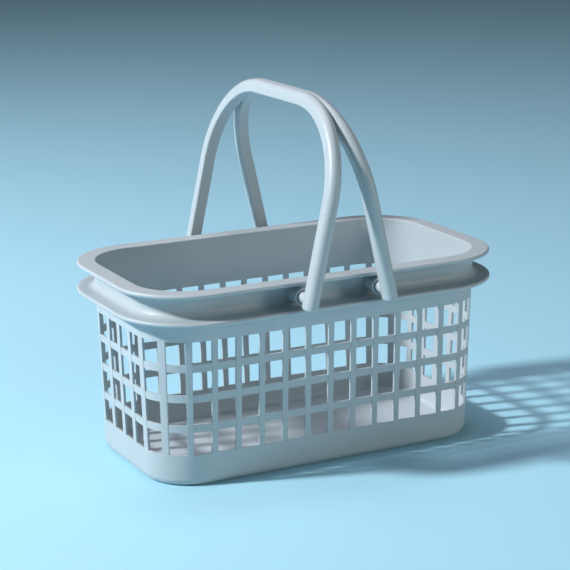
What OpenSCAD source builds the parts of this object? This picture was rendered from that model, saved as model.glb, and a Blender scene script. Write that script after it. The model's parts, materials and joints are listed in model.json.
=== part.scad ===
// Carry basket: one open-work tub and two bail handles that lean together over it.
// Origin at the centre of the underside, +X along the long side, +Z up, millimetres.

/* [Tub] */
// Distance between the corner centres along the long side
corner_span_x = 210; // [170:1:260]
// Distance between the corner centres across the basket
corner_span_y = 71.5; // [60:0.5:120]
// Height of the tub from the underside to the top of the rim
tub_h = 156; // [140:1:200]
// Corner radius of the outer wall at the underside
corner_r = 38.2; // [34:0.1:46]
// Outward slope of the walls, millimetres per millimetre of height
draft = 0.033; // [0.01:0.001:0.05]
// Wall thickness
wall_t = 2; // [1.5:0.1:2.6]
// Floor thickness
floor_t = 2.5; // [2:0.1:4]
// Radius of the rounded edge round the underside
foot_r = 6; // [4:0.5:8]

/* [Rim and flange] */
// How far the rim reaches out from the wall
rim_reach = 12.9; // [8:0.1:16]
// Thickness of the rim and flange plates
plate_t = 2.2; // [1.6:0.1:2.8]
// Radius of the rounded bead along the edge of rim and flange
bead_r = 1.7; // [1.5:0.1:2.2]
// Height of the neck, from the flange's top face to the top of the rim
neck_h = 21; // [19:0.5:26]
// How far the flange reaches out from the wall at the ends
flange_end_reach = 14.8; // [10:0.1:18]
// How far the flange reaches out from the wall at the long sides
flange_side_reach = 18.5; // [12:0.1:23]
// Corner radius of the flange's edge
flange_corner_r = 64; // [58:1:70]
// Radius of the cove between the neck and the flange, and under the rim
cove_r = 4; // [2:0.5:5]

/* [Windows] */
// Width of one window
window_w = 15.1; // [10:0.1:16]
// Height of the crossbars between window rows
bar_h = 6; // [4:0.1:10]
// Height of the bottom of the lowest row above the underside
row_z = 25.6; // [20:0.1:32]
// Plain band between the top row and the flange
top_band = 16.8; // [12:0.1:24]
// How far the windows and posts of a long side run past the corner centre
side_run = 15; // [10:0.5:18]
// How far the windows and posts of an end run past the corner centre
end_run = 6.25; // [4:0.25:9]
// Window columns on each long side
side_columns = 12; // [6:2:12]
// Window columns on each end
end_columns = 4; // [2:2:4]
// Window rows
rows = 4; // [2:1:4]

/* [Handles] */
// Distance of each pivot from the middle of the basket
pivot_x = 33.5; // [28:0.5:45]
// Clearance of a handle folded flat, between the flange's end and the grip
fold_gap = 9.85; // [6:0.05:20]
// Clearance between the flange's edge and a leg
leg_gap = 5.9; // [3:0.1:10]
// How far a leg runs on below its pivot
leg_drop = 8.2; // [6:0.1:10]
// Rounding of a leg's lower end
leg_end_r = 3; // [2:0.1:4]
// Radius of the handle's bends, on its middle line
bend_r = 70.4; // [60:0.2:80]
// Width of the handle's section, along the basket
section_w = 10.6; // [9:0.1:13]
// Depth of the section outside its middle line
section_out = 6.9; // [6:0.1:8]
// Depth of the section inside its middle line
section_in = 4.7; // [4:0.1:6]
// Rounding of the section's inner edges
section_edge_r = 1.5; // [1:0.1:2]
// Depth of the flat along a grip where the two meet
grip_flat = 3.2; // [1:0.1:4]
// Gap between the two grips where they meet
grip_gap = 0.3; // [0.2:0.1:1]

/* [Pivots] */
// Radius of the pivot pin
pin_r = 3; // [2.5:0.1:3.6]
// Running clearance of the pin in its bore
pin_clearance = 0.06; // [0.02:0.01:0.1]
// Radius of the hub between leg and boss
hub_r = 4.3; // [3.8:0.1:4.8]
// Outer radius of the boss on the neck
boss_r = 6.6; // [6:0.1:7]
// Width of the raised ring round the boss's face
boss_ring = 1.1; // [0.8:0.1:1.4]
// How far the boss stands out from the wall
boss_reach = 15; // [12:0.5:17]
// Depth of the recess in the boss's face
recess_depth = 1.6; // [1:0.1:2.5]
// Gap between the hub and the bottom of the recess
hub_gap = 0.6; // [0.4:0.1:1]
// Wall left behind the blind bore
bore_floor = 1.6; // [1.2:0.1:2]

/* [Hidden] */
$fn = 64;
cx = corner_span_x / 2;
cy = corner_span_y / 2;
plastic = [0.72, 0.77, 0.79];
// Outer wall radius about a corner centre at height z
function wall_r(z) = corner_r + draft * z;
rim_r = wall_r(tub_h) + rim_reach;
flange_z = tub_h - neck_h;
flange_cx = cx + wall_r(flange_z) + flange_end_reach - flange_corner_r;
flange_cy = cy + wall_r(flange_z) + flange_side_reach - flange_corner_r;
neck_z = (flange_z + tub_h - plate_t) / 2;
wall_y = cy + wall_r(neck_z);
boss_y = wall_y + boss_reach;
hub_y = boss_y - recess_depth + hub_gap;
bore_y = wall_y - wall_t + bore_floor;
leg_inner_y = cy + wall_r(flange_z) + flange_side_reach + leg_gap;
leg_y = leg_inner_y + section_in;
handle_reach = cx + wall_r(flange_z) + flange_end_reach + fold_gap + section_in - pivot_x;
half_grip = leg_y - bend_r;
leg_len = handle_reach - bend_r;
// Lean at which the grips meet over the middle of the basket
grip_x = grip_gap / 2 + section_w / 2 - grip_flat;
lean = asin((pivot_x - grip_x) / handle_reach);
// Windows fill the wall between the two bands and share out the long sides and the ends.
row_pitch = (flange_z - plate_t - top_band - row_z + bar_h) / rows;
window_h = row_pitch - bar_h;
side_pitch = 2 * (cx + side_run) / side_columns;
end_pitch = 2 * (cy + end_run) / end_columns;
eps = 0.01;

// Carries a profile, drawn as distance from the corner centre against height, once round the tub.
module around(span_x, span_y) {
    for (sx = [0, 1], sy = [0, 1])
        mirror([sx, 0, 0]) mirror([0, sy, 0])
            translate([span_x, span_y, 0]) rotate_extrude(angle = 90, $fn = 96) children();
    for (side = [0, 1]) {
        rotate([0, 0, 180 * side]) translate([-span_x, span_y, 0])
            rotate([90, 0, 90]) linear_extrude(2 * span_x) children();
        rotate([0, 0, 180 * side]) translate([span_x, span_y, 0])
            rotate([90, 0, 0]) linear_extrude(2 * span_y) children();
    }
}

// Hollow corner shape that blends two square faces
module cove(r) {
    difference() {
        translate([-eps, -eps]) square(r + eps);
        translate([r, r]) circle(r);
    }
}

// Wall from the underside to the top, with the rounded foot edge
module wall_profile() {
    difference() {
        polygon([
            [wall_r(0) - foot_r - wall_t, 0], [wall_r(0), 0], [wall_r(tub_h), tub_h],
            [wall_r(tub_h) - wall_t, tub_h], [wall_r(floor_t) - wall_t, floor_t],
            [wall_r(0) - foot_r - wall_t, floor_t]
        ]);
        difference() {
            translate([wall_r(0) - foot_r, -eps]) square(foot_r + 1);
            translate([wall_r(0) - foot_r, foot_r]) circle(foot_r + draft * foot_r / 2);
            translate([wall_r(0) - foot_r, foot_r]) square(foot_r + 2);
        }
    }
}

// Flat plate with a bead along its edge; its top is at height z
module plate_profile(r_in, r_out, z) {
    translate([r_in, z - plate_t]) square([r_out - bead_r - r_in, plate_t]);
    translate([r_out - bead_r, z - bead_r]) circle(bead_r, $fn = 32);
}

module rim_profile() {
    plate_profile(wall_r(tub_h) - wall_t, rim_r, tub_h);
    translate([wall_r(tub_h - plate_t) - draft * cove_r, tub_h - plate_t]) mirror([0, 1]) cove(cove_r);
    translate([wall_r(flange_z), flange_z]) cove(cove_r);
}

// Flat slab with rounded corners
module slab(span_x, span_y, r, h) {
    linear_extrude(h) {
        square([2 * span_x, 2 * (span_y + r)], center = true);
        square([2 * (span_x + r), 2 * span_y], center = true);
        for (sx = [-1, 1], sy = [-1, 1]) translate([sx * span_x, sy * span_y]) circle(r, $fn = 96);
    }
}

module flange() {
    difference() {
        union() {
            translate([0, 0, flange_z - plate_t])
                slab(flange_cx, flange_cy, flange_corner_r - bead_r, plate_t);
            around(flange_cx, flange_cy)
                translate([flange_corner_r - bead_r, flange_z - bead_r]) circle(bead_r, $fn = 32);
        }
        translate([0, 0, flange_z - plate_t - bead_r])
            slab(cx, cy, wall_r(flange_z - plate_t) - wall_t / 2, 2 * (plate_t + bead_r));
    }
}

// Every window is a straight cut; the corner ones point along the corner's radius.
module windows() {
    reach_x = cx + wall_r(tub_h) + wall_t;
    reach_y = cy + wall_r(tub_h) + wall_t;
    corner_step = (90 - window_angle(side_run) - window_angle(end_run)) / 2;
    for (row = [0 : rows - 1]) translate([0, 0, row_z + row * row_pitch]) {
        for (i = [0 : side_columns - 1])
            translate([(i - (side_columns - 1) / 2) * side_pitch - window_w / 2, -reach_y, 0])
                cube([window_w, 2 * reach_y, window_h]);
        for (i = [0 : end_columns - 1])
            translate([-reach_x, (i - (end_columns - 1) / 2) * end_pitch - window_w / 2, 0])
                cube([2 * reach_x, window_w, window_h]);
        for (sx = [0, 1], sy = [0, 1]) mirror([sx, 0, 0]) mirror([0, sy, 0])
            translate([cx, cy, 0]) for (k = [0.5, 1.5])
                rotate([0, 0, window_angle(end_run) + k * corner_step])
                    translate([wall_r(0) / 2, -window_w / 2, 0]) cube([wall_r(0), window_w, window_h]);
    }
}

// Angle about the corner centre that a run past it takes up, halfway up the windows
function window_angle(run) = run / wall_r(row_z + rows * row_pitch / 2) * 180 / PI;

// Boss that holds a handle's pin, on both long sides
module boss() {
    translate([0, wall_y - wall_t / 2, neck_z]) rotate([-90, 0, 0])
        cylinder(r = boss_r, h = boss_reach + wall_t / 2);
}

module boss_bore() {
    translate([0, bore_y, neck_z]) rotate([-90, 0, 0])
        cylinder(r = pin_r + pin_clearance, h = boss_y - bore_y + 1);
    translate([0, boss_y - recess_depth, neck_z]) rotate([-90, 0, 0])
        cylinder(r = boss_r - boss_ring, h = recess_depth + 1);
}

module at_pivots() {
    for (sx = [0, 1], sy = [0, 1]) mirror([sx, 0, 0]) mirror([0, sy, 0])
        translate([pivot_x, 0, 0]) children();
}

module basket_tub() color(plastic) {
    difference() {
        union() {
            around(cx, cy) {
                wall_profile();
                rim_profile();
            }
            flange();
            slab(cx, cy, wall_r(0) - foot_r - wall_t, floor_t);
            at_pivots() boss();
        }
        windows();
        at_pivots() boss_bore();
    }
}

// Handle section: x across the handle, y outwards; round outside and flat inside
module handle_section() {
    round_y = section_out - section_w / 2;
    translate([0, round_y]) circle(d = section_w);
    difference() {
        translate([-section_w / 2, -section_in]) square([section_w, section_in + round_y]);
        for (s = [0, 1]) mirror([s, 0])
            translate([section_w / 2 + eps, -section_in - eps]) mirror([1, 0]) cove(section_edge_r);
    }
}

// Outline of a leg's lower end between two sides, with its corners rounded
module end_outline(low, high) {
    translate([low, leg_end_r - leg_drop]) square([high - low, leg_drop - leg_end_r]);
    translate([low + leg_end_r, -leg_drop]) square([high - low - 2 * leg_end_r, leg_drop]);
    for (u = [low + leg_end_r, high - leg_end_r]) translate([u, leg_end_r - leg_drop]) circle(leg_end_r);
}

module leg_end() {
    intersection() {
        translate([0, 0, -leg_drop]) linear_extrude(leg_drop) handle_section();
        translate([0, section_w, 0]) rotate([90, 0, 0])
            linear_extrude(2 * section_w) end_outline(-section_w / 2, section_w / 2);
        translate([-section_w, 0, 0]) rotate([90, 0, 90])
            linear_extrude(2 * section_w) end_outline(-section_in, section_out);
    }
}

// One handle standing upright with its pivot line on the Y axis
module upright_handle() {
    for (side = [0, 1]) mirror([0, side, 0]) {
        translate([0, leg_y, 0]) {
            leg_end();
            linear_extrude(leg_len) handle_section();
        }
        translate([0, half_grip, leg_len]) rotate([0, -90, 0]) rotate_extrude(angle = 90, $fn = 96)
            translate([bend_r, 0]) rotate([0, 0, -90]) handle_section();
        translate([0, hub_y, 0]) rotate([-90, 0, 0])
            cylinder(r = hub_r, h = leg_inner_y - hub_y + section_edge_r);
        translate([0, bore_y + hub_gap, 0]) rotate([-90, 0, 0])
            cylinder(r = pin_r, h = hub_y - bore_y - hub_gap + 1);
    }
    translate([0, half_grip, handle_reach]) rotate([90, 0, 0])
        linear_extrude(2 * half_grip) handle_section();
}

// Handle on the +X side, leaning inwards; its grip is cut flat where it meets the other
module leaning_handle() {
    difference() {
        translate([pivot_x, 0, neck_z]) rotate([0, -lean, 0]) upright_handle();
        translate([grip_gap / 2 - 4 * section_w, -leg_y, neck_z + leg_len])
            cube([4 * section_w, 2 * leg_y, 2 * handle_reach]);
    }
}

module right_handle() color(plastic) leaning_handle();

module left_handle() color(plastic) mirror([1, 0, 0]) leaning_handle();

basket_tub();
left_handle();
right_handle();
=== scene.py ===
"""Carry basket of one moulded tub and two moulded handles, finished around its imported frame.

The tub is modelled as one quarter, from a wall profile that is spun round the corner and drawn
out along both straight sides, then mirrored twice. Named sizes are in millimetres and MM turns
them into the scene's metres.
"""

import json
import math

import bmesh
import bpy
from mathutils import Matrix, Vector


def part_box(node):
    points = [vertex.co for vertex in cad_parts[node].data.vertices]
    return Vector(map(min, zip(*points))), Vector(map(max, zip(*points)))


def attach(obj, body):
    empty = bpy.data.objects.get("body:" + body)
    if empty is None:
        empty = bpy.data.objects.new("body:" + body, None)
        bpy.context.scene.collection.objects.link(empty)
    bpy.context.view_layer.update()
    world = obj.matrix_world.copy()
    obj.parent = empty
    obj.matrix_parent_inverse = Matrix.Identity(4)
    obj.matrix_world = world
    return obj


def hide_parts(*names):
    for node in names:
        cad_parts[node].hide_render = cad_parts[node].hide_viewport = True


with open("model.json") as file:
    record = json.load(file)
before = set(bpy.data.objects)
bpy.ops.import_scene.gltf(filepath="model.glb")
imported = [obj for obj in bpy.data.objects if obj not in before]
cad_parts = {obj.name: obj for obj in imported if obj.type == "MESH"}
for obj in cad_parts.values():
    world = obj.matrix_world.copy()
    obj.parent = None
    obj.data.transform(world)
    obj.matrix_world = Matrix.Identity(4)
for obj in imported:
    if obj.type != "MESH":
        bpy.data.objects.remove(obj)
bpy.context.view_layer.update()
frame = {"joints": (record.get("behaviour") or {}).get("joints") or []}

MM = 0.001
WELD = 0.000004
BISECT_REACH = 0.000001

# --- Sizes of the tub, in millimetres, from the frame and the basket's own proportions -------
tub_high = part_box("basket_tub")[1]
TUB_HEIGHT = tub_high.z / MM
CORNER_X = 105.0          # corner centre from the middle, along the basket
CORNER_Y = 35.75          # corner centre from the middle, across the basket
FOOT_RADIUS = 6.0
WALL_AT_BASE = 38.2       # outer wall's radius about the corner centre at the underside
DRAFT = 0.033
WALL = 2.0
FLOOR = 2.5
RIM_REACH = 12.9
PLATE = 2.2
BEAD = 1.7
LOW_COVE = 5.5            # between the flange and the neck
HIGH_COVE = 4.0           # between the neck and the rim
INNER_LIP = 0.9           # rounding of the opening's edge
FILLET = 1.2              # between the wall and the flange's underside
FLANGE_TOP = 135.0
FLANGE_LOW = FLANGE_TOP - PLATE
BEAD_START = -110.0       # angle at which the edge beads leave the plate's underside
FLANGE_BAND = 6.0         # width of the flange's outer band
FLANGE_RADIUS = 64.0
FLANGE_X = tub_high.x / MM - FLANGE_RADIUS
FLANGE_Y = tub_high.y / MM - FLANGE_RADIUS

# --- Windows ---------------------------------------------------------------------------------
WINDOW_WIDTH = 15.1
WINDOW_HEIGHT = 18.1
SIDE_PITCH = 20.0
SIDE_WINDOWS = 6          # in each quarter
END_PITCH = 21.0
END_WINDOWS = 2
ROW_PITCH = 24.1
FIRST_ROW = 25.6
ROWS = 4
GRID_RADIUS = 40.6        # wall radius at the grid's middle, where window angles are worked out
CORNER_STEP = 3.4         # degrees between columns round a corner
BAR_RECESS = 0.35         # how far the crossbars stand back behind the posts
EDGE_BREAK = 0.16         # width of the softened edges
NEAR = 0.02
COLUMN_SLACK = 0.2        # how far past a window's edge a point still counts as its own
ROUND_SIDES = 48
BEND_STEPS = 28
LEG_END_STEPS = 8
SEAM_ROUND = 0.45         # rounding where a grip is cut flat
EDGE_ROUND = 0.3          # rounding of the boss's and the hub's edges

# --- Pivots and handles ----------------------------------------------------------------------
right_joint = frame["joints"][1]
PIVOT_X = right_joint["pos_m"][0] / MM
PIVOT_Z = right_joint["pos_m"][2] / MM
BOSS_RADIUS = 6.6
BOSS_RING = 1.1
BOSS_REACH = 15.0         # how far the boss stands out from the neck
BOSS_RECESS = 1.6
BORE_WALL = 1.6           # left behind the blind bore
HUB_GAP = 0.6             # along the pin, in the recess and at the bottom of the bore
NECK_Y = CORNER_Y + WALL_AT_BASE + DRAFT * PIVOT_Z
BOSS_FACE = NECK_Y + BOSS_REACH
BORE_RADIUS = 3.06
BORE_FLOOR = NECK_Y - WALL + BORE_WALL
HUB_RADIUS = 4.3
HUB_FACE = BOSS_FACE - BOSS_RECESS + HUB_GAP
PIN_RADIUS = 3.0
PIN_END = BORE_FLOOR + HUB_GAP
SECTION_WIDTH = 10.6
SECTION_OUT = 6.9
SECTION_IN = 4.7
SECTION_EDGE = 1.5
FOLD_GAP = 9.85           # from the flange's end to the grip of a handle folded flat
LEG_DROP = 8.2            # how far a leg runs on below its pivot
LEG_END_ROUND = 3.0
GRIP_GAP = 0.3
GRIP_FLAT = 3.2
GRIP_X = GRIP_GAP / 2 + SECTION_WIDTH / 2 - GRIP_FLAT
BEND_RADIUS = 70.4
handle_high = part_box("right_handle")[1]
LEG_Y = handle_high.y / MM - SECTION_OUT
HANDLE_REACH = tub_high.x / MM + FOLD_GAP + SECTION_IN - PIVOT_X
LEG_LENGTH = HANDLE_REACH - BEND_RADIUS
HALF_GRIP = LEG_Y - BEND_RADIUS
LEAN = math.asin((PIVOT_X - GRIP_X) / HANDLE_REACH)


def wall_radius(z):
    return WALL_AT_BASE + DRAFT * z


# --- Small modelling helpers -----------------------------------------------------------------
def deselect_all():
    if bpy.context.object and bpy.context.object.mode != "OBJECT":
        bpy.ops.object.mode_set(mode="OBJECT")
    bpy.ops.object.select_all(action="DESELECT")


def only(obj):
    """Makes obj the one selected and active object."""
    deselect_all()
    obj.select_set(True)
    bpy.context.view_layer.objects.active = obj


def to_vector(point):
    return Vector(point) * MM


def edit(obj):
    only(obj)
    bpy.ops.object.mode_set(mode="EDIT")


def done():
    bpy.ops.object.mode_set(mode="OBJECT")


def pick(obj, mode, test):
    """In edit mode, selects exactly the elements whose middle passes test."""
    bpy.ops.mesh.select_mode(type=mode)
    bpy.ops.mesh.select_all(action="DESELECT")
    mesh = bmesh.from_edit_mesh(obj.data)
    for element in {"VERT": mesh.verts, "EDGE": mesh.edges, "FACE": mesh.faces}[mode]:
        if mode == "VERT":
            middle = element.co
        elif mode == "EDGE":
            middle = (element.verts[0].co + element.verts[1].co) / 2
        else:
            middle = element.calc_center_median()
        if test(middle / MM, element):
            element.select_set(True)
    mesh.select_flush_mode()
    bmesh.update_edit_mesh(obj.data)


def arc(centre_u, centre_z, radius, start, end, steps):
    """Points of an arc in a profile, angles in degrees, both ends included."""
    found = []
    for i in range(steps + 1):
        angle = math.radians(start + (end - start) * i / steps)
        found.append((centre_u + radius * math.cos(angle), centre_z + radius * math.sin(angle)))
    return found


def draw_line(obj, points):
    """Draws a polyline as by hand: one vertex extruded from point to point, left selected."""
    edit(obj)
    bpy.ops.mesh.select_mode(type="VERT")
    bpy.ops.mesh.select_all(action="DESELECT")
    bpy.ops.mesh.primitive_plane_add(size=MM, location=to_vector(points[0]))
    bpy.ops.mesh.merge(type="CENTER")
    for before, after in zip(points, points[1:]):
        step = to_vector(after) - to_vector(before)
        bpy.ops.mesh.extrude_vertices_move(TRANSFORM_OT_translate={"value": step})


def extrude_edges(move):
    bpy.ops.mesh.extrude_edges_move(TRANSFORM_OT_translate={"value": to_vector(move)})


def weld(obj):
    """Merges doubles and turns every face of a closed piece outwards."""
    edit(obj)
    bpy.ops.mesh.select_mode(type="VERT")
    bpy.ops.mesh.select_all(action="SELECT")
    bpy.ops.mesh.remove_doubles(threshold=WELD)
    bpy.ops.mesh.normals_make_consistent(inside=False)
    done()


def new_piece(name):
    """An empty mesh piece, started from a primitive whose faces are removed."""
    deselect_all()
    bpy.ops.mesh.primitive_plane_add(size=MM)
    piece = bpy.context.object
    piece.name = name
    piece.data.name = name
    edit(piece)
    bpy.ops.mesh.select_all(action="SELECT")
    bpy.ops.mesh.delete(type="VERT")
    done()
    return piece


def apply_modifier(obj, kind, **settings):
    only(obj)
    modifier = obj.modifiers.new(kind.lower(), kind)
    for key, value in settings.items():
        setattr(modifier, key, value)
    bpy.ops.object.modifier_apply(modifier=modifier.name)


# --- Camera ----------------------------------------------------------------------------------
def add_camera():
    data = bpy.data.cameras.new("camera")
    data.lens = 117.0
    data.sensor_width = 36.0
    data.clip_start = 0.05
    data.clip_end = 30.0
    camera = bpy.data.objects.new("camera", data)
    bpy.context.scene.collection.objects.link(camera)
    turn = Matrix.Rotation(math.radians(-27.27), 4, "Z")
    tilt = Matrix.Rotation(math.radians(75.44), 4, "X")
    roll = Matrix.Rotation(math.radians(-0.533), 4, "Z")
    place = Matrix.Translation((-0.6654, -1.2900, 0.5054))
    camera.matrix_world = place @ turn @ tilt @ roll
    bpy.context.scene.camera = camera


add_camera()


# --- Tub -------------------------------------------------------------------------------------
def half_side_columns(length, pitch, count):
    """Column widths along half a straight side, from the corner centre to the middle."""
    edges = [0.0]
    for i in range(count):
        middle = (i + 0.5) * pitch
        edges += [middle - WINDOW_WIDTH / 2, middle + WINDOW_WIDTH / 2]
    edges = [edge for edge in edges if edge < length] + [length]
    return [far - near for near, far in zip(edges, edges[1:])][::-1]


def turn_of(run):
    """Angle at the corner centre of a straight run across the wall."""
    return math.degrees(math.asin(run / GRID_RADIUS))


def corner_windows():
    """(start, end) angles of the windows round a corner, from the end towards the long side."""
    end_run = END_WINDOWS * END_PITCH - CORNER_Y
    side_run = SIDE_WINDOWS * SIDE_PITCH - CORNER_X
    end_post = (END_PITCH - WINDOW_WIDTH) / 2
    side_post = (SIDE_PITCH - WINDOW_WIDTH) / 2
    first = math.degrees(end_run / GRID_RADIUS)
    pitch = (90 - math.degrees(side_run / GRID_RADIUS) - first) / 2
    half = turn_of(WINDOW_WIDTH / 2)
    middles = [first + (i + 0.5) * pitch for i in range(2)]
    whole = [(middle - half, middle + half) for middle in middles]
    return [(0, turn_of(end_run - end_post))] + whole + [(90 - turn_of(side_run - side_post), 90)]


def corner_columns():
    """(angle, steps) of each column round the corner, from the end towards the long side."""
    marks = [mark for window in corner_windows() for mark in window]
    turns = [after - before for before, after in zip(marks, marks[1:])]
    return [(turn, max(1, round(turn / CORNER_STEP))) for turn in turns]


def sweep_quarter(obj, profile, centre_x, centre_y):
    """Carries a profile (reach, height) round a corner, then along both straights to the middle."""
    draw_line(obj, [(centre_x + reach, centre_y, z) for reach, z in profile])
    pick(obj, "EDGE", lambda p, e: not e.link_faces)
    for turn, steps in corner_columns():
        bpy.ops.mesh.spin(
            steps=steps, angle=-math.radians(turn),
            center=to_vector((centre_x, centre_y, 0)), axis=(0, 0, 1),
        )
    for width in half_side_columns(CORNER_X, SIDE_PITCH, SIDE_WINDOWS):
        extrude_edges((-width * centre_x / CORNER_X, 0, 0))
    lowest_x = centre_x + min(reach for reach, z in profile) - NEAR
    pick(obj, "EDGE", lambda p, e: all(abs(v.co.y / MM - centre_y) < NEAR for v in e.verts)
         and p.x > lowest_x and len(e.link_faces) == 1)
    for width in half_side_columns(CORNER_Y, END_PITCH, END_WINDOWS):
        extrude_edges((0, -width * centre_y / CORNER_Y, 0))
    done()


def row_edges():
    found = []
    for row in range(ROWS):
        low = FIRST_ROW + row * ROW_PITCH
        found += [low, low + WINDOW_HEIGHT]
    return found


def lower_profile():
    """Outside of the tub from the floor's edge round the foot and up to the flange."""
    foot_centre = WALL_AT_BASE - FOOT_RADIUS
    points = [(foot_centre - WALL, 0.0)]
    points += arc(foot_centre, FOOT_RADIUS, FOOT_RADIUS, -90, 0, 8)[:-1]
    points += [(wall_radius(z), z) for z in [FOOT_RADIUS] + row_edges()]
    points += arc(wall_radius(FLANGE_LOW) + FILLET, FLANGE_LOW - FILLET, FILLET, 180, 90, 4)
    return points


def upper_profile():
    """From the flange's top up the neck, round the rim and down the inside to the floor."""
    under_rim = TUB_HEIGHT - PLATE
    rim_edge = wall_radius(TUB_HEIGHT) + RIM_REACH
    inner_top = wall_radius(TUB_HEIGHT) - WALL
    points = arc(wall_radius(FLANGE_TOP) + LOW_COVE, FLANGE_TOP + LOW_COVE, LOW_COVE, -90, -180, 9)
    points += arc(wall_radius(under_rim) + HIGH_COVE, under_rim - HIGH_COVE, HIGH_COVE, 180, 90, 7)
    points += arc(rim_edge - BEAD, TUB_HEIGHT - BEAD, BEAD, BEAD_START, 90, 14)
    points += arc(inner_top + INNER_LIP, TUB_HEIGHT - INNER_LIP, INNER_LIP, 90, 180, 5)
    points += [(wall_radius(z) - WALL, z) for z in [FLANGE_TOP] + row_edges()[::-1]]
    inner_round = FOOT_RADIUS - WALL
    inner_reach = wall_radius(FLOOR + inner_round) - WALL
    points += arc(inner_reach - inner_round, FLOOR + inner_round, inner_round, 0, -90, 7)
    return points


def flange_profile():
    """Flange from its underside round the bead and back along its top."""
    inner = FLANGE_RADIUS - FLANGE_BAND
    bead = arc(FLANGE_RADIUS - BEAD, FLANGE_TOP - BEAD, BEAD, BEAD_START, 90, 14)
    return [(inner, FLANGE_LOW)] + bead + [(inner, FLANGE_TOP)]


def join_flange(tub):
    """Bridges the flange to the wall below it and to the neck above it."""
    for height in (FLANGE_LOW, FLANGE_TOP):
        pick(tub, "EDGE", lambda p, e: len(e.link_faces) == 1
             and all(abs(v.co.z / MM - height) < NEAR for v in e.verts)
             and p.x > NEAR and p.y > NEAR)
        bpy.ops.mesh.bridge_edge_loops()


def window_at(p):
    """(column, row) of the window that a point of the quarter's wall lies in, or None."""
    row = int((p.z - FIRST_ROW) // ROW_PITCH)
    if not 0 <= row < ROWS or p.z - FIRST_ROW - row * ROW_PITCH > WINDOW_HEIGHT + NEAR:
        return None
    column = window_column(p)
    return None if column is None else (column, row)


def window_column(p):
    """Number of the window column that a point of the quarter's wall lies in, or None."""
    half = WINDOW_WIDTH / 2 + COLUMN_SLACK
    if p.x <= CORNER_X and p.y > CORNER_Y:
        return int(p.x // SIDE_PITCH) if abs(p.x % SIDE_PITCH - SIDE_PITCH / 2) < half else None
    if p.y <= CORNER_Y and p.x > CORNER_X:
        column = SIDE_WINDOWS + 2 + int(p.y // END_PITCH)
        return column if abs(p.y % END_PITCH - END_PITCH / 2) < half else None
    angle = math.degrees(math.atan2(p.y - CORNER_Y, p.x - CORNER_X))
    names = (SIDE_WINDOWS + 2 + END_WINDOWS - 1, SIDE_WINDOWS + 1, SIDE_WINDOWS, SIDE_WINDOWS - 1)
    for name, (start, end) in zip(names, corner_windows()):
        if start - COLUMN_SLACK < angle < end + COLUMN_SLACK:
            return name
    return None


def face_outwards(obj):
    """Turns every face of the open quarter outwards, judged by its outer side wall."""
    bpy.ops.mesh.select_mode(type="FACE")
    bpy.ops.mesh.select_all(action="SELECT")
    bpy.ops.mesh.normals_make_consistent(inside=False)
    mesh = bmesh.from_edit_mesh(obj.data)
    outer = max(mesh.faces, key=lambda f: f.calc_center_median().y if abs(f.normal.y) > 0.9 else -1)
    if outer.normal.y < 0:
        bpy.ops.mesh.flip_normals()


def recess_bars(tub):
    """Sets the crossbars of every window column back behind the posts."""
    top = FIRST_ROW + (ROWS - 1) * ROW_PITCH + WINDOW_HEIGHT
    pick(tub, "FACE", lambda p, f: FIRST_ROW < p.z < top and window_column(p) is not None
         and is_outer_face(p, f))
    bpy.ops.mesh.extrude_region_shrink_fatten(
        TRANSFORM_OT_shrink_fatten={"value": -BAR_RECESS * MM, "use_even_offset": True}
    )


def is_outer_face(p, face):
    """True on the wall's outer skin, whose faces look away from the basket's middle."""
    return face.normal.x * p.x + face.normal.y * p.y > 0


def open_windows(tub):
    """Deletes the window faces on both skins and closes each opening's four sides."""
    pick(tub, "FACE", lambda p, f: abs(f.normal.z) < 0.2 and window_at(p) is not None
         and not is_step_face(p, f))
    bpy.ops.mesh.delete(type="FACE")
    columns = SIDE_WINDOWS + 2 + END_WINDOWS
    for opening in [(column, row) for column in range(columns) for row in range(ROWS)]:
        pick(tub, "EDGE", lambda p, e: len(e.link_faces) == 1 and opening_of_edge(p) == opening)
        bpy.ops.mesh.bridge_edge_loops()


def opening_of_edge(p):
    """(column, row) of the opening that an edge of the grid bounds, or None."""
    if min(p.x, p.y) < NEAR or not FIRST_ROW - NEAR < p.z < FIRST_ROW + ROWS * ROW_PITCH:
        return None
    return window_column(p), int((p.z - FIRST_ROW + (ROW_PITCH - WINDOW_HEIGHT) / 2) // ROW_PITCH)


def is_step_face(p, face):
    """True on the narrow sides of a recessed column, which join the posts to its bars."""
    return face.calc_area() < (BAR_RECESS * 1.5 * WINDOW_HEIGHT) * MM * MM and min(
        edge.calc_length() for edge in face.edges) < BAR_RECESS * 1.5 * MM


def close_floor(tub):
    """Fills the floor's upper face and the underside."""
    for height in (0.0, FLOOR):
        pick(tub, "EDGE", lambda p, e: len(e.link_faces) == 1 and abs(p.z - height) < NEAR)
        bpy.ops.mesh.edge_face_add()


def turned_blank(name, radius, low, high, x):
    """A round blank along Y from low to high, on the pivot line at x."""
    deselect_all()
    bpy.ops.mesh.primitive_cylinder_add(
        vertices=ROUND_SIDES, radius=radius * MM, depth=(high - low) * MM,
        location=to_vector((x, (low + high) / 2, PIVOT_Z)), rotation=(math.pi / 2, 0, 0),
    )
    blank = bpy.context.object
    blank.name = name
    bpy.ops.object.transform_apply(location=True, rotation=True, scale=True)
    return blank


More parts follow.
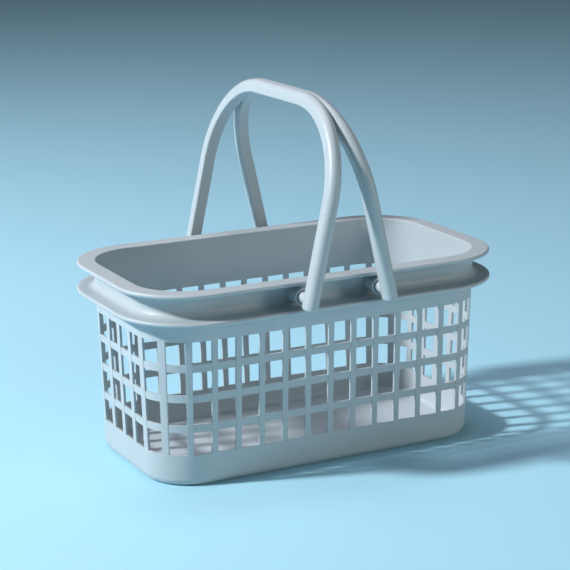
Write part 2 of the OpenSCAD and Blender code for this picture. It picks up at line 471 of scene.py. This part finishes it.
def boss_blank():
    """Boss with a raised ring, a recessed face and the pin's blind bore."""
    boss = turned_blank("boss", BOSS_RADIUS, NECK_Y - WALL / 2, BOSS_FACE, PIVOT_X)
    edit(boss)
    pick(boss, "FACE", lambda p, f: f.normal.y > 0.9)
    bpy.ops.mesh.inset(thickness=BOSS_RING * MM)
    bpy.ops.mesh.extrude_region_move(
        TRANSFORM_OT_translate={"value": to_vector((0, -BOSS_RECESS, 0))})
    bpy.ops.mesh.inset(thickness=(BOSS_RADIUS - BOSS_RING - BORE_RADIUS) * MM)
    bpy.ops.mesh.extrude_region_move(
        TRANSFORM_OT_translate={"value": to_vector((0, BORE_FLOOR - BOSS_FACE + BOSS_RECESS, 0))})
    pick(boss, "EDGE", lambda p, e: all(abs(v.co.y / MM - BOSS_FACE) < NEAR for v in e.verts)
         and abs(e.verts[0].co.xz.length - e.verts[1].co.xz.length) < 0.002)
    bpy.ops.mesh.bevel(offset=EDGE_ROUND * MM, segments=3, affect="EDGES")
    done()
    return boss


def mirror_across(obj, x, y):
    apply_modifier(obj, "MIRROR", use_axis=(x, y, False), use_clip=True, merge_threshold=WELD)


def make_tub():
    tub = new_piece("basket_body")
    sweep_quarter(tub, lower_profile(), CORNER_X, CORNER_Y)
    sweep_quarter(tub, upper_profile(), CORNER_X, CORNER_Y)
    sweep_quarter(tub, flange_profile(), FLANGE_X, FLANGE_Y)
    edit(tub)
    bpy.ops.mesh.select_all(action="SELECT")
    bpy.ops.mesh.remove_doubles(threshold=WELD)
    join_flange(tub)
    face_outwards(tub)
    recess_bars(tub)
    open_windows(tub)
    done()
    mirror_across(tub, True, True)
    edit(tub)
    close_floor(tub)
    done()
    weld(tub)
    soften(tub, EDGE_BREAK)
    add_bosses(tub)
    smooth(tub)
    return tub


def add_bosses(tub):
    """Joins the four bosses to the neck."""
    boss = boss_blank()
    mirror_across(boss, True, True)
    join_solids(tub, boss)


def join_solids(obj, other):
    """Unites other with obj and removes it."""
    apply_modifier(obj, "BOOLEAN", operation="UNION", object=other, solver="EXACT")
    bpy.data.objects.remove(other)


def soften(obj, width):
    apply_modifier(obj, "BEVEL", width=width * MM, segments=2, limit_method="ANGLE",
                   angle_limit=math.radians(50), use_clamp_overlap=True)


def smooth(obj):
    """Smooth shading that keeps the flat faces flat."""
    only(obj)
    bpy.ops.object.shade_smooth_by_angle(angle=math.radians(40))
    apply_modifier(obj, "WEIGHTED_NORMAL", keep_sharp=True, weight=60)


# --- Handles ---------------------------------------------------------------------------------
def section_points():
    """Half the handle's section (across, outwards): round outside, flat inside."""
    round_y = SECTION_OUT - SECTION_WIDTH / 2
    corner = SECTION_WIDTH / 2 - SECTION_EDGE
    points = arc(0, round_y, SECTION_WIDTH / 2, 90, 0, 12)
    points += arc(corner, SECTION_EDGE - SECTION_IN, SECTION_EDGE, 0, -90, 5)
    return points + [(0.0, -SECTION_IN)]


def draw_leg_end():
    """Draws the selected loop down, then down and in by rings to a rounded end, and closes it."""
    extrude_edges((0, 0, LEG_END_ROUND - LEG_DROP))
    middle = to_vector((0, LEG_Y + (SECTION_OUT - SECTION_IN) / 2, 0))
    half_x = SECTION_WIDTH / 2
    half_y = (SECTION_OUT + SECTION_IN) / 2
    turns = [math.pi / 2 * i / LEG_END_STEPS for i in range(LEG_END_STEPS + 1)]
    insets = [LEG_END_ROUND * (1 - math.cos(turn)) for turn in turns]
    for i in range(LEG_END_STEPS):
        extrude_edges((0, 0, LEG_END_ROUND * (math.sin(turns[i]) - math.sin(turns[i + 1]))))
        bpy.ops.transform.resize(
            value=((half_x - insets[i + 1]) / (half_x - insets[i]),
                   (half_y - insets[i + 1]) / (half_y - insets[i]), 1), center_override=middle)
    bpy.ops.mesh.edge_face_add()


def make_right_handle():
    handle = new_piece("right_bail")
    half = section_points()
    outline = half + [(-x, y) for x, y in reversed(half[1:-1])] + half[:1]
    draw_line(handle, [(x, LEG_Y + y, 0) for x, y in outline])
    done()
    weld(handle)
    edit(handle)
    pick(handle, "EDGE", lambda p, e: True)
    draw_leg_end()
    pick(handle, "EDGE", lambda p, e: all(abs(v.co.z / MM) < NEAR for v in e.verts))
    extrude_edges((0, 0, LEG_LENGTH))
    bpy.ops.mesh.spin(steps=BEND_STEPS, angle=-math.pi / 2,
                      center=to_vector((0, HALF_GRIP, LEG_LENGTH)), axis=(1, 0, 0))
    extrude_edges((0, -HALF_GRIP, 0))
    done()
    weld(handle)
    hub = turned_blank("hub", HUB_RADIUS, HUB_FACE, LEG_Y - SECTION_IN + SECTION_EDGE, 0)
    edit(hub)
    pick(hub, "FACE", lambda p, f: f.normal.y < -0.9)
    bpy.ops.mesh.inset(thickness=(HUB_RADIUS - PIN_RADIUS) * MM)
    bpy.ops.mesh.extrude_region_move(
        TRANSFORM_OT_translate={"value": to_vector((0, PIN_END - HUB_FACE, 0))})
    done()
    soften(hub, EDGE_ROUND)
    only(hub)
    hub.location.z = -PIVOT_Z * MM
    bpy.ops.object.transform_apply(location=True, rotation=False, scale=False)
    mirror_across(handle, False, True)
    mirror_across(hub, False, True)
    weld(handle)
    join_solids(handle, hub)
    only(handle)
    handle.rotation_euler.y = -LEAN
    handle.location = to_vector((PIVOT_X, 0, PIVOT_Z))
    bpy.ops.object.transform_apply(location=True, rotation=True, scale=True)
    edit(handle)
    bpy.ops.mesh.select_mode(type="VERT")
    bpy.ops.mesh.select_all(action="SELECT")
    bpy.ops.mesh.bisect(plane_co=to_vector((GRIP_GAP / 2, 0, 0)), plane_no=(1, 0, 0),
                        use_fill=True, clear_inner=True, threshold=BISECT_REACH)
    done()
    weld(handle)
    soften(handle, SEAM_ROUND)
    smooth(handle)
    return handle


def mirrored_handle(handle):
    """The other handle, as a mirrored copy with its own mesh."""
    only(handle)
    bpy.ops.object.duplicate(linked=False)
    other = bpy.context.object
    other.name = "left_bail"
    other.data.name = "left_bail"
    other.scale.x = -1
    bpy.ops.object.transform_apply(location=True, rotation=True, scale=True)
    edit(other)
    bpy.ops.mesh.select_all(action="SELECT")
    bpy.ops.mesh.normals_make_consistent(inside=False)
    done()
    smooth(other)
    return other


# --- Plastic ---------------------------------------------------------------------------------
def moulded_skin_group():
    """Shared surface of the mouldings: fine grain, slow colour drift, handling wear on edges."""
    group = bpy.data.node_groups.new("moulded_skin", "ShaderNodeTree")
    sockets = group.interface
    for name, kind, default in (
        ("Plastic", "NodeSocketColor", (0.5, 0.6, 0.65, 1)),
        ("Worn Plastic", "NodeSocketColor", (0.6, 0.7, 0.75, 1)),
        ("Grain Scale", "NodeSocketFloat", 1500.0), ("Drift", "NodeSocketFloat", 0.06),
        ("Roughness", "NodeSocketFloat", 0.5),
    ):
        sockets.new_socket(name, in_out="INPUT", socket_type=kind).default_value = default
    sockets.new_socket("Color", in_out="OUTPUT", socket_type="NodeSocketColor")
    sockets.new_socket("Roughness", in_out="OUTPUT", socket_type="NodeSocketFloat")
    sockets.new_socket("Height", in_out="OUTPUT", socket_type="NodeSocketFloat")
    nodes, links = group.nodes, group.links
    entry = nodes.new("NodeGroupInput")
    leave = nodes.new("NodeGroupOutput")
    place = nodes.new("ShaderNodeTexCoord")

    def noise(scale, detail):
        found = nodes.new("ShaderNodeTexNoise")
        found.inputs["Detail"].default_value = detail
        links.new(place.outputs["Object"], found.inputs["Vector"])
        if scale is not None:
            found.inputs["Scale"].default_value = scale
        return found

    def calculate(operation, first, second, third=None):
        found = nodes.new("ShaderNodeMath")
        found.operation = operation
        for socket, value in zip(found.inputs, (first, second, third)):
            if isinstance(value, bpy.types.NodeSocket):
                links.new(value, socket)
            elif value is not None:
                socket.default_value = value
        return found.outputs[0]

    drift = noise(14.0, 3.0)
    clouds = noise(70.0, 4.0)
    grain = noise(None, 2.0)
    links.new(entry.outputs["Grain Scale"], grain.inputs["Scale"])

    both = calculate("ADD", drift.outputs["Fac"], clouds.outputs["Fac"])
    centred = calculate("SUBTRACT", both, 1.0)
    brightness = calculate("MULTIPLY_ADD", centred, entry.outputs["Drift"], 1.0)
    tinted = nodes.new("ShaderNodeVectorMath")
    tinted.operation = "SCALE"
    links.new(entry.outputs["Plastic"], tinted.inputs[0])
    links.new(brightness, tinted.inputs["Scale"])

    shape = nodes.new("ShaderNodeNewGeometry")
    edges = nodes.new("ShaderNodeMapRange")
    edges.inputs["From Min"].default_value = 0.52
    edges.inputs["From Max"].default_value = 0.62
    edges.inputs["To Max"].default_value = 0.5
    links.new(shape.outputs["Pointiness"], edges.inputs["Value"])
    worn = nodes.new("ShaderNodeMix")
    worn.data_type = "RGBA"
    links.new(edges.outputs["Result"], worn.inputs["Factor"])
    links.new(tinted.outputs["Vector"], worn.inputs["A"])
    links.new(entry.outputs["Worn Plastic"], worn.inputs["B"])
    links.new(worn.outputs["Result"], leave.inputs["Color"])

    rougher = calculate("MULTIPLY_ADD", centred, 0.10, entry.outputs["Roughness"])
    links.new(rougher, leave.inputs["Roughness"])
    links.new(grain.outputs["Fac"], leave.inputs["Height"])
    return group


def plastic(name, group, colour, worn, roughness, grain_scale, grain_depth):
    material = bpy.data.materials.new(name)
    material.use_nodes = True
    nodes, links = material.node_tree.nodes, material.node_tree.links
    shader = nodes["Principled BSDF"]
    shader.inputs["IOR"].default_value = 1.49
    shader.inputs["Subsurface Weight"].default_value = 0.06
    shader.inputs["Subsurface Radius"].default_value = (0.0012, 0.0014, 0.0015)
    skin = nodes.new("ShaderNodeGroup")
    skin.node_tree = group
    skin.inputs["Plastic"].default_value = (*colour, 1)
    skin.inputs["Worn Plastic"].default_value = (*worn, 1)
    skin.inputs["Grain Scale"].default_value = grain_scale
    skin.inputs["Roughness"].default_value = roughness
    links.new(skin.outputs["Color"], shader.inputs["Base Color"])
    links.new(skin.outputs["Roughness"], shader.inputs["Roughness"])
    bump = nodes.new("ShaderNodeBump")
    bump.inputs["Strength"].default_value = 0.25
    bump.inputs["Distance"].default_value = grain_depth
    links.new(skin.outputs["Height"], bump.inputs["Height"])
    links.new(bump.outputs["Normal"], shader.inputs["Normal"])
    return material


PLASTIC = (0.450, 0.510, 0.545)
WORN = (0.520, 0.580, 0.612)
skin_group = moulded_skin_group()
tub_plastic = plastic("tub_plastic", skin_group, PLASTIC, WORN, 0.46, 1700.0, 0.00004)
handle_plastic = plastic("handle_plastic", skin_group, PLASTIC, WORN, 0.40, 1900.0, 0.00003)


def finish_piece(piece, body, node, material):
    piece.data.materials.clear()
    piece.data.materials.append(material)
    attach(piece, body)
    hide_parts(node)


tub = make_tub()
finish_piece(tub, "tub", "basket_tub", tub_plastic)
right_bail = make_right_handle()
left_bail = mirrored_handle(right_bail)
finish_piece(right_bail, "handle_right", "right_handle", handle_plastic)
finish_piece(left_bail, "handle_left", "left_handle", handle_plastic)


# --- Floor and light -------------------------------------------------------------------------
FLOOR_SIZE = 14           # metres


def add_floor():
    deselect_all()
    bpy.ops.mesh.primitive_plane_add(size=FLOOR_SIZE, location=(0, 0, 0))
    ground = bpy.context.object
    ground.name = "studio_floor"
    material = bpy.data.materials.new("studio_floor")
    material.use_nodes = True
    shader = material.node_tree.nodes["Principled BSDF"]
    shader.inputs["Base Color"].default_value = (0.41, 0.73, 0.88, 1)
    shader.inputs["Roughness"].default_value = 0.75
    shader.inputs["Specular IOR Level"].default_value = 0.2
    ground.data.materials.append(material)


def add_lamp(name, azimuth, elevation, distance, size, power, colour):
    """An area lamp aimed at the basket. Azimuth is measured from +X towards +Y, in degrees."""
    target = Vector((0, 0, 0.12))
    flat = math.cos(math.radians(elevation))
    away = Vector((math.cos(math.radians(azimuth)) * flat, math.sin(math.radians(azimuth)) * flat,
                   math.sin(math.radians(elevation))))
    data = bpy.data.lights.new(name, "AREA")
    data.shape = "DISK"
    data.size = size
    data.energy = power
    data.color = colour
    lamp = bpy.data.objects.new(name, data)
    bpy.context.scene.collection.objects.link(lamp)
    lamp.location = target + away * distance
    lamp.rotation_euler = (-away).to_track_quat("-Z", "Y").to_euler()


def add_studio():
    add_lamp("key", 168.0, 33.5, 2.6, 0.26, 84.0, (0.98, 0.99, 1.0))
    add_lamp("low_fill", -55.0, 14.0, 2.6, 1.0, 15.5, (0.98, 1.0, 0.92))
    add_lamp("top_fill", 100.0, 78.0, 2.6, 1.4, 21.0, (0.90, 0.86, 1.0))
    world = bpy.data.worlds.new("studio")
    bpy.context.scene.world = world
    world.use_nodes = True
    sky = world.node_tree.nodes["Background"]
    sky.inputs["Color"].default_value = (0.80, 0.92, 1.0, 1)
    sky.inputs["Strength"].default_value = 0.07
    bpy.context.scene.view_settings.view_transform = "Standard"


add_floor()
add_studio()
